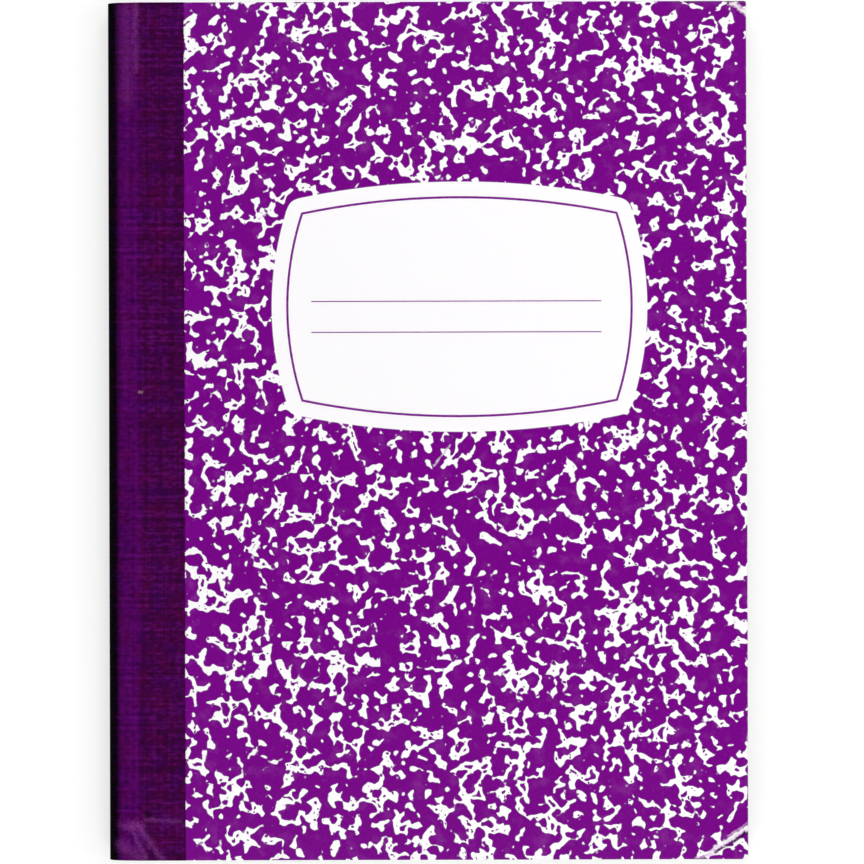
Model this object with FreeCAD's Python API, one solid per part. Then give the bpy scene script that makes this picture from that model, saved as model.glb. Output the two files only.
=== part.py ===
import FreeCAD, Part
import math
import os
import random

# Composition notebook, closed, lying on its back cover.
# X runs from the spine to the fore edge, Y from the tail to the head and Z from the back
# cover to the front cover. The origin is under the middle of the book, on the plane that
# the book rests on. All sizes are in millimetres.

# Book
book_width = 184.0
book_height = 247.0
leaf_count = 100
leaf_thickness = 0.09
board_thickness = 0.9
ink_thickness = 0.05

# Cloth tape over the spine
tape_thickness = 0.25
tape_reach = 22.1          # from the outermost point of the spine to the tape's edge
spine_depth = 9.4          # from the outermost point of the spine to the boards' edges
glue_line = 0.1            # between the tape and the fold of the leaves

# Sewing through the fold
thread_size = 0.4
stitch_pitch = 12.0
stitch_end_margin = 9.0

# Bent corner of the front cover, at the tail of the fore edge
dog_ear_along_tail = 13.0
dog_ear_up_fore_edge = 8.6
dog_ear_angle = 3.0

# Blank label field on the front cover
label_from_fore_edge = 82.7
label_from_head = 87.8
label_width = 90.5         # corner to corner
label_height = 53.8
label_side_bulge = 4.3
label_top_bulge = 4.6
label_margin = 4.5         # white field outside the border line
border_line = 0.65
writing_line = 0.3
writing_inset_spine_side = 2.6
writing_inset_fore_side = 4.4
writing_rise = 19.6        # lower line above the label's lower corners
writing_pitch = 8.9

# Marbled print, as white blots left open in a field of ink
blot_pitch = 18.0
blot_drift = 1.8
blot_least_arm_count = 3
blot_most_arm_count = 5
blot_arm_shortest = 4.0
blot_arm_longest = 10.5
blot_waist_narrow = 1.8
blot_waist_wide = 4.6
blot_turn = 0.9            # of the angle between an arm and the next waist
front_pattern_seed = 3
back_pattern_seed = 8

# Places along X
spine_x = -book_width / 2
fore_x = book_width / 2
hinge_x = spine_x + spine_depth
tape_edge_x = spine_x + tape_reach
fold_x = spine_x + tape_thickness + glue_line

# Places along Y
tail_y = -book_height / 2
head_y = book_height / 2

# Places along Z, from the table up
back_ink_z = tape_thickness
back_board_z = back_ink_z + ink_thickness
block_z = back_board_z + board_thickness
block_thickness = leaf_count * leaf_thickness
middle_z = block_z + block_thickness / 2
front_board_z = block_z + block_thickness
front_ink_z = front_board_z + board_thickness
front_tape_z = front_ink_z + ink_thickness
book_thickness = front_tape_z + tape_thickness

# Round of the spine: the fold of the leaves, and the tape's two surfaces about its centre
fold_radius = block_thickness / 2
fold_centre_x = fold_x + fold_radius
inner_radius = fold_radius + glue_line
outer_radius = inner_radius + tape_thickness

# Place of the label's middle
label_x = fore_x - label_from_fore_edge
label_y = head_y - label_from_head

UP = FreeCAD.Vector(0, 0, 1)


def point(x, y, z=0.0):
    return FreeCAD.Vector(x, y, z)


def line(start, end):
    return Part.LineSegment(start, end).toShape()


def half_round(low, high):
    """Half circle from low to high, bulging towards the spine."""
    middle = (low + high) * 0.5
    nose = middle - point(low.distanceToPoint(middle), 0)
    return Part.Arc(low, nose, high).toShape()


def along_height(profile):
    """Solid from a profile drawn with its Z values along Y, run from tail to head."""
    face = Part.Face(profile)
    face.rotate(point(0, 0), point(1, 0, 0), 90)
    face.translate(point(0, tail_y))
    return face.extrude(point(0, book_height))


def stitched_leaves():
    """The folded leaves as one block, with a half round fold and square trimmed edges."""
    low = point(fold_centre_x, block_z)
    high = point(fold_centre_x, front_board_z)
    fore_low = point(fore_x, block_z)
    fore_high = point(fore_x, front_board_z)
    fold = half_round(low, high)
    edges = [fold, line(high, fore_high), line(fore_high, fore_low), line(fore_low, low)]
    return along_height(Part.Wire(edges))


def sewing():
    """Lockstitch down the fold: one run outside, one in the centre fold, and the legs."""
    run_length = book_height - 2 * stitch_end_margin
    start_y = tail_y + stitch_end_margin
    low_z = middle_z - thread_size / 2
    outer = Part.makeBox(thread_size, run_length, thread_size, point(fold_x, start_y, low_z))
    inner_corner = point(fold_centre_x, start_y, low_z)
    inner = Part.makeBox(thread_size, run_length, thread_size, inner_corner)
    leg_count = int((run_length - thread_size) / stitch_pitch) + 1
    legs = []
    for i in range(leg_count):
        corner = point(fold_x, start_y + i * stitch_pitch, low_z)
        legs.append(Part.makeBox(fold_radius, thread_size, thread_size, corner))
    return outer.fuse([inner] + legs).removeSplitter()


def tape_side(distance, radius):
    """One surface of the tape, at a distance above the front board's print.

    It runs flat from the tape's edge to the board's edge and dips from there to the fold,
    which it meets at a tangent. The list holds the edge, the dip's start and its end.
    """
    run = hinge_x - fold_centre_x
    height = front_tape_z - middle_z
    reach = math.hypot(run, height)
    dip = math.atan2(height, run) - math.asin(inner_radius / reach)
    start_x = hinge_x - distance * math.tan(dip / 2)
    edge = point(tape_edge_x, front_tape_z + distance)
    start = point(start_x, front_tape_z + distance)
    end = point(fold_centre_x - radius * math.sin(dip), middle_z + radius * math.cos(dip))
    return [edge, start, end]


def to_back(place):
    """The same place on the back half of the tape."""
    return point(place.x, 2 * middle_z - place.y)


def cloth_tape():
    """One strip of cloth folded round the spine and glued down on both covers."""
    outer = tape_side(tape_thickness, outer_radius)
    inner = tape_side(0, inner_radius)
    outer_nose = point(fold_centre_x - outer_radius, middle_z)
    inner_nose = point(fold_centre_x - inner_radius, middle_z)
    edges = [
        line(outer[0], outer[1]),
        line(outer[1], outer[2]),
        Part.Arc(outer[2], outer_nose, to_back(outer[2])).toShape(),
        line(to_back(outer[2]), to_back(outer[1])),
        line(to_back(outer[1]), to_back(outer[0])),
        line(to_back(outer[0]), to_back(inner[0])),
        line(to_back(inner[0]), to_back(inner[1])),
        line(to_back(inner[1]), to_back(inner[2])),
        Part.Arc(to_back(inner[2]), inner_nose, inner[2]).toShape(),
        line(inner[2], inner[1]),
        line(inner[1], inner[0]),
        line(inner[0], outer[0]),
    ]
    return along_height(Part.Wire(edges))


def cover_face(z):
    """Outline of a cover board as a flat face at height z."""
    corners = [(hinge_x, tail_y), (fore_x, tail_y), (fore_x, head_y), (hinge_x, head_y)]
    points = [point(x, y, z) for x, y in corners]
    return Part.Face(Part.makePolygon(points + points[:1]))


def bend_corner(shape):
    """Lifts the tail corner of the fore edge about its crease."""
    crease_top = point(fore_x, tail_y + dog_ear_up_fore_edge, front_board_z)
    crease_end = point(fore_x - dog_ear_along_tail, tail_y, front_board_z)
    tip = point(fore_x, tail_y, front_board_z)
    triangle = Part.Face(Part.makePolygon([crease_top, crease_end, tip, crease_top]))
    cutter = triangle.extrude(UP * (front_tape_z - front_board_z))
    corner = shape.common(cutter)
    corner.rotate(crease_top, crease_end - crease_top, dog_ear_angle)
    return shape.cut(cutter).fuse(corner)


def label_outline():
    """Border of the label: four sides that bulge outwards between sharp corners."""
    half_width = label_width / 2
    half_height = label_height / 2
    z = front_ink_z
    corners = [
        point(label_x + sx * half_width, label_y + sy * half_height, z)
        for sx, sy in ((-1, -1), (1, -1), (1, 1), (-1, 1))
    ]
    side = half_width + label_side_bulge
    top = half_height + label_top_bulge
    crowns = [
        point(label_x, label_y - top, z),
        point(label_x + side, label_y, z),
        point(label_x, label_y + top, z),
        point(label_x - side, label_y, z),
    ]
    arcs = [
        Part.Arc(corners[i], crowns[i], corners[(i + 1) % 4]).toShape() for i in range(4)
    ]
    return Part.Wire(arcs)


def label_field():
    """White field that the print leaves open round the border line."""
    return Part.Face(label_outline().makeOffset2D(label_margin))


def label_border():
    outline = label_outline()
    outside = Part.Face(outline.makeOffset2D(border_line / 2))
    inside = Part.Face(outline.makeOffset2D(-border_line / 2))
    return outside.cut(inside).extrude(UP * ink_thickness)


def label_lines():
    """Two lines to write on."""
    start_x = label_x - label_width / 2 + writing_inset_spine_side
    length = label_width - writing_inset_spine_side - writing_inset_fore_side
    lines = []
    for i in range(2):
        y = label_y - label_height / 2 + writing_rise + i * writing_pitch
        corner = point(start_x, y - writing_line / 2, front_ink_z)
        lines.append(Part.makeBox(length, writing_line, ink_thickness, corner))
    return Part.makeCompound(lines)


def blot(x, y, z, chance):
    """One white blot: pointed arms, with the ink reaching in between them."""
    arms = chance.randint(blot_least_arm_count, blot_most_arm_count)
    first = chance.uniform(0, 2 * math.pi)
    step = math.pi / arms
    points = []
    for i in range(2 * arms):
        if i % 2 == 0:
            radius = chance.uniform(blot_arm_shortest, blot_arm_longest)
        else:
            radius = chance.uniform(blot_waist_narrow, blot_waist_wide)
        angle = first + step * (i + blot_turn * chance.uniform(-1, 1) / 2)
        points.append(point(x + radius * math.cos(angle), y + radius * math.sin(angle), z))
    return Part.Face(Part.makePolygon(points + points[:1]))


def blots(z, seed):
    """Blots in staggered rows over the part of a cover that the tape leaves in sight."""
    chance = random.Random(seed)
    row_pitch = blot_pitch * math.sin(math.radians(60))
    columns = int((fore_x - tape_edge_x) / blot_pitch)
    rows = int(book_height / row_pitch)
    first_x = (fore_x + tape_edge_x - (columns - 0.5) * blot_pitch) / 2
    first_y = -(rows - 1) * row_pitch / 2
    found = []
    for row in range(rows):
        shift = blot_pitch / 2 * (row % 2)
        for column in range(columns):
            x = first_x + column * blot_pitch + shift + chance.uniform(-blot_drift, blot_drift)
            y = first_y + row * row_pitch + chance.uniform(-blot_drift, blot_drift)
            found.append(blot(x, y, z, chance))
    return found


def printed_field(z, seed, openings):
    """Field of ink over a whole board, open at its blots and at the given faces."""
    field = cover_face(z).cut(blots(z, seed) + openings)
    return Part.makeCompound([face.extrude(UP * ink_thickness) for face in field.Faces])


def front_board():
    return bend_corner(cover_face(front_board_z).extrude(UP * board_thickness))


def front_print():
    return bend_corner(printed_field(front_ink_z, front_pattern_seed, [label_field()]))


def back_board():
    return cover_face(back_board_z).extrude(UP * board_thickness)


def back_print():
    return printed_field(back_ink_z, back_pattern_seed, [])


def build():
    thread = sewing()
    return {
        "front_board": front_board(),
        "front_print": front_print(),
        "label_border": label_border(),
        "label_lines": label_lines(),
        "back_board": back_board(),
        "back_print": back_print(),
        "page_block": stitched_leaves().cut(thread),
        "sewing_thread": thread,
        "spine_tape": cloth_tape(),
    }


os.makedirs("parts", exist_ok=True)
for name, shape in build().items():
    shape.exportStep("parts/" + name + ".step")
    print(name, len(shape.Solids), "solids", round(shape.Volume, 2), "mm3", shape.isValid())
print("thickness", round(book_thickness, 3), "hinge at x", round(hinge_x, 3))
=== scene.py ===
"""Looks of a composition notebook: marbled board covers, a cloth spine and sewn leaves.

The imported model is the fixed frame. X runs from the spine to the fore edge, Y from the
tail to the head and Z up from the table. Lengths are in metres, and a name that ends in
_mm holds millimetres. The class of each sub-assembly holds its sizes, builds its meshes
with edit operators and dresses them in its finishes.
"""

import logging
import math
import random
from collections.abc import Callable, Iterable
from dataclasses import dataclass
from enum import Enum

import bmesh
import bpy
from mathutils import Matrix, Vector


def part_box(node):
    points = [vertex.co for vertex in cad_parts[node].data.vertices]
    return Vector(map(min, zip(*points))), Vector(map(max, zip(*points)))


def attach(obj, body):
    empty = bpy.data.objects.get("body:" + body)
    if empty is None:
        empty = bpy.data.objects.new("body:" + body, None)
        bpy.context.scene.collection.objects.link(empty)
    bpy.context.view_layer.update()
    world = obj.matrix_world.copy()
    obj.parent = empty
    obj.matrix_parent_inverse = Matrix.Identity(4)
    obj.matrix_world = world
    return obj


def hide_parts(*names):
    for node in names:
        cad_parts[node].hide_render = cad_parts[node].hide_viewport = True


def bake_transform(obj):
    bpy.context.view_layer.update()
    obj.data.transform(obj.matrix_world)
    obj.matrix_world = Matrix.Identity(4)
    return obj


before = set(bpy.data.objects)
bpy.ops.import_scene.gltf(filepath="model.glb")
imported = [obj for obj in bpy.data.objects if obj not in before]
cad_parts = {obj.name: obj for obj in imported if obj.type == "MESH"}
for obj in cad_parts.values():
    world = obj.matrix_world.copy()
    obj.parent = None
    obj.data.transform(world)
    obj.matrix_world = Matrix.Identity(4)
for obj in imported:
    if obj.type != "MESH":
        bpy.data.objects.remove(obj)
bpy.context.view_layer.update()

MM = 0.001
# Places closer than this are the same place.
TINY = 1e-6
# Length of one wave of the wave texture at a scale of one.
WAVE_LENGTH = math.pi / 10
# Second part of a pattern's shift, so that patterns don't slide along one diagonal.
SKEW = 0.7
WHITE = (1.0, 1.0, 1.0, 1.0)

Material = bpy.types.Material
Node = bpy.types.Node
NodeTree = bpy.types.NodeTree
Piece = bpy.types.Object
Socket = bpy.types.NodeSocket

log = logging.getLogger("notebook")


class Element(Enum):
    """What a selection in edit mode is made of."""

    VERTICES = "VERT"
    EDGES = "EDGE"
    FACES = "FACE"


class Side(Enum):
    """Half of the book, with the sign of its outward direction along Z."""

    BACK = -1
    FRONT = 1


def linear(colour: str) -> tuple[float, float, float, float]:
    """Turns an sRGB hex colour to linear values.

    Args:
        colour: A hash sign and six hex digits.

    Returns:
        Red, green, blue and an alpha of one.
    """
    shares = [int(colour[i:i + 2], 16) / 255 for i in (1, 3, 5)]
    values = [s / 12.92 if s <= 0.04045 else ((s + 0.055) / 1.055) ** 2.4 for s in shares]
    return (*values, 1.0)


def add_node(
    tree: NodeTree, kind: str, inputs: dict[str | int, object] | None = None, **settings: object
) -> Node:
    """Adds a shader node with its settings, values and links.

    Args:
        tree: The material's node tree.
        kind: The node's type, without the ShaderNode in front.
        inputs: For each socket, a value or the output socket that feeds it.
        settings: Properties of the node.

    Returns:
        The new node.
    """
    node = tree.nodes.new("ShaderNode" + kind)
    for name, value in settings.items():
        setattr(node, name, value)
    for socket, value in (inputs or {}).items():
        if isinstance(value, Socket):
            tree.links.new(value, node.inputs[socket])
        else:
            node.inputs[socket].default_value = value
    return node


def new_material(name: str, surface: dict[str, float]) -> tuple[Material, NodeTree, Node]:
    """Starts a material with a Principled shader.

    Args:
        name: The real material and how it was made.
        surface: Values that are the same all over, by the shader's socket.

    Returns:
        The material, its node tree and its shader.
    """
    material = bpy.data.materials.new(name)
    material.use_nodes = True
    tree = material.node_tree
    shader = tree.nodes["Principled BSDF"]
    for socket, value in surface.items():
        shader.inputs[socket].default_value = value
    return material, tree, shader


def flat_place(tree: NodeTree) -> Socket:
    """Adds the Object coordinates seen from above, with Z at nought, and returns them."""
    place = add_node(tree, "TexCoord").outputs["Object"]
    flat = add_node(tree, "VectorMath", {0: place, 1: (1.0, 1.0, 0.0)}, operation="MULTIPLY")
    return flat.outputs[0]


def wander(tree: NodeTree, place: Socket, grain_mm: float, size_mm: float, shift: float) -> Socket:
    """Pushes a place about, as things laid by hand stray.

    Args:
        tree: The material's node tree.
        place: Where the surface is, in metres.
        grain_mm: How far apart the pushes change.
        size_mm: Twice the longest push.
        shift: Picks other pushes.

    Returns:
        The pushed place.
    """
    at = add_node(tree, "VectorMath", {0: place, 1: (shift, 0, 0)}, operation="ADD").outputs[0]
    noise = add_node(
        tree,
        "TexNoise",
        {"Vector": at, "Scale": 1 / (grain_mm * MM), "Detail": 1.0},
        noise_dimensions="2D",
    ).outputs["Color"]
    centred = add_node(
        tree, "VectorMath", {0: noise, 1: (0.5, 0.5, 0.5)}, operation="SUBTRACT"
    ).outputs[0]
    push = add_node(
        tree, "VectorMath", {0: centred, "Scale": size_mm * MM}, operation="SCALE"
    ).outputs[0]
    return add_node(tree, "VectorMath", {0: place, 1: push}, operation="ADD").outputs[0]


def melt(tree: NodeTree, fields: Iterable[Socket], size: float) -> Socket:
    """Joins distance fields by their smooth maximum.

    Args:
        tree: The material's node tree.
        fields: Distances to the edges of some shapes.
        size: How far from each other two edges start to melt together.

    Returns:
        The joined distance field.
    """
    joined, *others = fields
    for field in others:
        joined = add_node(
            tree, "Math", {0: joined, 1: field, 2: size}, operation="SMOOTH_MAX"
        ).outputs[0]
    return joined


@dataclass(frozen=True)
class Tint:
    """A colour that starts to show at one value of a field and is full at another."""

    colour: str
    start: float
    full: float
    most: float = 1.0

    def over(
        self, tree: NodeTree, field: Socket, under: str | Socket, held: Socket | None = None
    ) -> Socket:
        """Lays the tint over a colour.

        Args:
            tree: The material's node tree.
            field: A value that varies over the surface.
            under: The colour below, as hex or as a socket.
            held: A share that holds the tint back, if there is one.

        Returns:
            The colour with the tint.
        """
        share = add_node(
            tree,
            "MapRange",
            {"Value": field, "From Min": self.start, "From Max": self.full, "To Max": self.most},
        ).outputs[0]
        if held is not None:
            share = add_node(tree, "Math", {0: share, 1: held}, operation="MULTIPLY").outputs[0]
        below = linear(under) if isinstance(under, str) else under
        return add_node(
            tree, "Mix", {0: share, 6: below, 7: linear(self.colour)}, data_type="RGBA"
        ).outputs[2]


@dataclass(frozen=True)
class Relief:
    """A bump, with its strength and its depth in millimetres."""

    strength: float
    depth_mm: float

    def give(self, tree: NodeTree, shader: Node, height: Socket) -> None:
        """Links the bump to a shader.

        Args:
            tree: The material's node tree.
            shader: The material's shader.
            height: Height of the surface, in no unit.
        """
        bump = add_node(
            tree,
            "Bump",
            {"Height": height, "Strength": self.strength, "Distance": self.depth_mm * MM},
        )
        tree.links.new(bump.outputs[0], shader.inputs["Normal"])


def deselect_all() -> None:
    """Leaves no object selected."""
    for piece in bpy.context.selected_objects:
        piece.select_set(False)


def make_active(piece: Piece) -> None:
    """Makes a piece the active one and the only selected one."""
    deselect_all()
    piece.select_set(True)
    bpy.context.view_layer.objects.active = piece


def start_editing(piece: Piece) -> None:
    """Enters edit mode on a piece."""
    make_active(piece)
    bpy.ops.object.mode_set(mode="EDIT")


def stop_editing() -> None:
    """Goes back to object mode."""
    bpy.ops.object.mode_set(mode="OBJECT")


def pick(piece: Piece, element: Element, test: Callable[..., bool]) -> None:
    """Selects, in edit mode, only the elements that pass a test.

    Args:
        piece: The piece in edit mode.
        element: Vertices, edges or faces.
        test: Says of one element whether it is wanted.
    """
    bpy.ops.mesh.select_mode(type=element.value)
    bpy.ops.mesh.select_all(action="DESELECT")
    shape = bmesh.from_edit_mesh(piece.data)
    rows = {Element.VERTICES: shape.verts, Element.EDGES: shape.edges, Element.FACES: shape.faces}
    for item in rows[element]:
        if test(item):
            item.select_set(True)
    shape.select_flush_mode()
    bmesh.update_edit_mesh(piece.data)


def cut_along(normal: Vector, places: Iterable[Vector]) -> None:
    """Cuts new edges through the whole piece in edit mode, one plane at each place."""
    for place in places:
        bpy.ops.mesh.select_all(action="SELECT")
        bpy.ops.mesh.bisect(plane_co=place, plane_no=normal)


def apply_modifiers(piece: Piece) -> None:
    """Applies every modifier of a piece, in order."""
    make_active(piece)
    for modifier in list(piece.modifiers):
        bpy.ops.object.modifier_apply(modifier=modifier.name)


def smooth(piece: Piece, angle: float) -> None:
    """Shades a piece smooth, and sharp at the edges past an angle in degrees."""
    make_active(piece)
    bpy.ops.object.shade_smooth_by_angle(angle=math.radians(angle))


def give_finish(piece: Piece, material: Material, test: Callable[..., bool]) -> None:
    """Adds a material to a piece and gives it to the faces that pass a test."""
    piece.data.materials.append(material)
    start_editing(piece)
    pick(piece, Element.FACES, test)
    piece.active_material_index = len(piece.data.materials) - 1
    bpy.ops.object.material_slot_assign()
    stop_editing()


def dress_node(name: str, material: Material) -> None:
    """Gives a carried over node its material."""
    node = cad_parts[name]
    node.data.materials.clear()
    node.data.materials.append(material)
    log.info("%s: carried over from the frame", name)


def report(piece: Piece) -> None:
    """Logs a finished piece with its number of faces."""
    log.info("%s: %d faces", piece.name, len(piece.data.polygons))


@dataclass(frozen=True)
class BookSize:
    """Places that the pieces share, taken from the frame."""

    spine_x: float
    hinge_x: float
    tape_edge_x: float
    fore_x: float
    tail_y: float
    head_y: float
    block_back_z: float
    block_front_z: float
    board_front_z: float
    print_front_z: float
    top_z: float

    @classmethod
    def from_frame(cls) -> "BookSize":
        """Reads the places from the boxes of the frame's nodes."""
        tape_low, tape_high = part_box("spine_tape")
        back_low, back_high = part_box("back_board")
        block_low, block_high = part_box("page_block")
        print_low, print_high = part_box("label_border")
        return cls(
            spine_x=tape_low.x,
            hinge_x=back_low.x,
            tape_edge_x=tape_high.x,
            fore_x=back_high.x,
            tail_y=back_low.y,
            head_y=back_high.y,
            block_back_z=block_low.z,
            block_front_z=block_high.z,
            board_front_z=print_low.z,
            print_front_z=print_high.z,
            top_z=tape_high.z,
        )

    @property
    def height(self) -> float:
        """Length of the spine from tail to head."""
        return self.head_y - self.tail_y

    @property
    def middle_z(self) -> float:
        """Height of the middle of the leaves."""
        return (self.block_back_z + self.block_front_z) / 2

    @property
    def fold_radius(self) -> float:
        """Radius of the outermost leaf's fold."""
        return (self.block_front_z - self.block_back_z) / 2


@dataclass(frozen=True)
class Mark:
    """A scuff, crack, stain or painted shadow along a line, placed and sized in millimetres."""

    start: tuple[float, float]
    end: tuple[float, float]
    half_width: float
    colour: str
    strength: float
    grain: float = 0.6
    raggedness: float = 0.25
    stretch: tuple[float, float] = (1.0, 1.0)
    body: float = 1.0
    # How steeply the mark sets in at its rim.
    rim: float = 4.0

    def mask(self, tree: NodeTree, place: Socket) -> Socket:
        """Adds the nodes that say how strongly the mark shows.

        Args:
            tree: The material's node tree.
            place: Where the surface is, in metres.

        Returns:
            A value from nought to the mark's strength.
        """
        start = Vector((*self.start, 0)) * MM
        span = Vector((*self.end, 0)) * MM - start
        away = add_node(tree, "VectorMath", {0: place, 1: start}, operation="SUBTRACT").outputs[0]
        share = add_node(
            tree, "VectorMath", {0: away, 1: span / span.length_squared}, operation="DOT_PRODUCT"
        ).outputs["Value"]
        held = add_node(tree, "Clamp", {0: share}).outputs[0]
        foot = add_node(tree, "VectorMath", {0: span, "Scale": held}, operation="SCALE").outputs[0]
        distance = add_node(
            tree, "VectorMath", {0: away, 1: foot}, operation="DISTANCE"
        ).outputs["Value"]
        soft = add_node(
            tree, "MapRange", {"Value": distance, "From Min": self.half_width * MM, "From Max": 0.0}
        ).outputs[0]
        long, high = self.stretch
        drawn_out = add_node(
            tree, "VectorMath", {0: place, 1: (1 / long, 1 / high, 0)}, operation="MULTIPLY"
        ).outputs[0]
        patches = add_node(
            tree,
            "TexNoise",
            {"Vector": drawn_out, "Scale": 1 / (self.grain * MM), "Detail": 2.0},
            noise_dimensions="2D",
        ).outputs["Fac"]
        total = add_node(
            tree, "Math", {0: soft, 1: self.body, 2: patches}, operation="MULTIPLY_ADD"
        ).outputs[0]
        ragged = add_node(
            tree,
            "MapRange",
            {
                "Value": total,
                "From Min": 1 - self.raggedness,
                "From Max": 1 + self.raggedness,
                "To Max": self.strength,
            },
            interpolation_type="SMOOTHSTEP",
        ).outputs[0]
        reached = add_node(
            tree, "Math", {0: soft, 1: self.rim}, operation="MULTIPLY", use_clamp=True
        ).outputs[0]
        return add_node(tree, "Math", {0: ragged, 1: reached}, operation="MULTIPLY").outputs[0]

    def over(self, tree: NodeTree, place: Socket, under: Socket) -> Socket:
        """Lays the mark over a colour.

        Args:
            tree: The material's node tree.
            place: Where the surface is, in metres.
            under: The colour without the mark.

        Returns:
            The colour with the mark.
        """
        mask = self.mask(tree, place)
        return add_node(
            tree, "Mix", {0: mask, 6: under, 7: linear(self.colour)}, data_type="RGBA"
        ).outputs[2]


@dataclass(frozen=True)
class Drops:
    """One throw of round drops on the marbling bath, in millimetres."""

    cell: float
    least_radius: float
    most_radius: float
    shift: float
    smoothness: float = 0.0

    def depth(self, tree: NodeTree, place: Socket) -> Socket:
        """Adds the nodes for how far inside the nearest drop a place is, in millimetres.

        Args:
            tree: The material's node tree.
            place: Where the surface is, in metres.

        Returns:
            A distance, below nought outside the drops.
        """
        at = add_node(
            tree, "VectorMath", {0: place, 1: (self.shift, self.shift * SKEW, 0)}, operation="ADD"
        ).outputs[0]
        cells = add_node(
            tree,
            "TexVoronoi",
            {"Vector": at, "Scale": 1 / (self.cell * MM)},
            voronoi_dimensions="2D",
            feature="SMOOTH_F1" if self.smoothness else "F1",
        )
        if self.smoothness:
            cells.inputs["Smoothness"].default_value = self.smoothness
        chance = add_node(tree, "SeparateColor", {0: cells.outputs["Color"]}).outputs[0]
        radius = add_node(
            tree,
            "MapRange",
            {
                "Value": chance,
                "To Min": self.least_radius / self.cell,
                "To Max": self.most_radius / self.cell,
            },
        ).outputs[0]
        inside = add_node(
            tree, "Math", {0: radius, 1: cells.outputs["Distance"]}, operation="SUBTRACT"
        ).outputs[0]
        return add_node(tree, "Math", {0: inside, 1: self.cell}, operation="MULTIPLY").outputs[0]


@dataclass(frozen=True)
class LabelField:
    """White field of the label, between four arcs that bulge outwards."""

    centre: tuple[float, float]
    half_width: float
    half_height: float
    side_radius: float
    top_radius: float
    corner: float = 3.5 * MM

    def outside(self, tree: NodeTree, place: Socket) -> Socket:
        """Adds the nodes for the distance outside the field.

        Args:
            tree: The material's node tree.
            place: Where the surface is, in metres.

        Returns:
            A distance in metres, below nought in the field.
        """
        x, y = self.centre
        side, top = self.half_width - self.side_radius, self.half_height - self.top_radius
        arcs = [
            ((x + side, y, 0), self.side_radius),
            ((x - side, y, 0), self.side_radius),
            ((x, y + top, 0), self.top_radius),
            ((x, y - top, 0), self.top_radius),
        ]
        past = []
        for centre, radius in arcs:
            reach = add_node(
                tree, "VectorMath", {0: place, 1: centre}, operation="DISTANCE"
            ).outputs["Value"]
            past.append(
                add_node(tree, "Math", {0: reach, 1: radius}, operation="SUBTRACT").outputs[0]
            )
        return melt(tree, past, self.corner)


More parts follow.
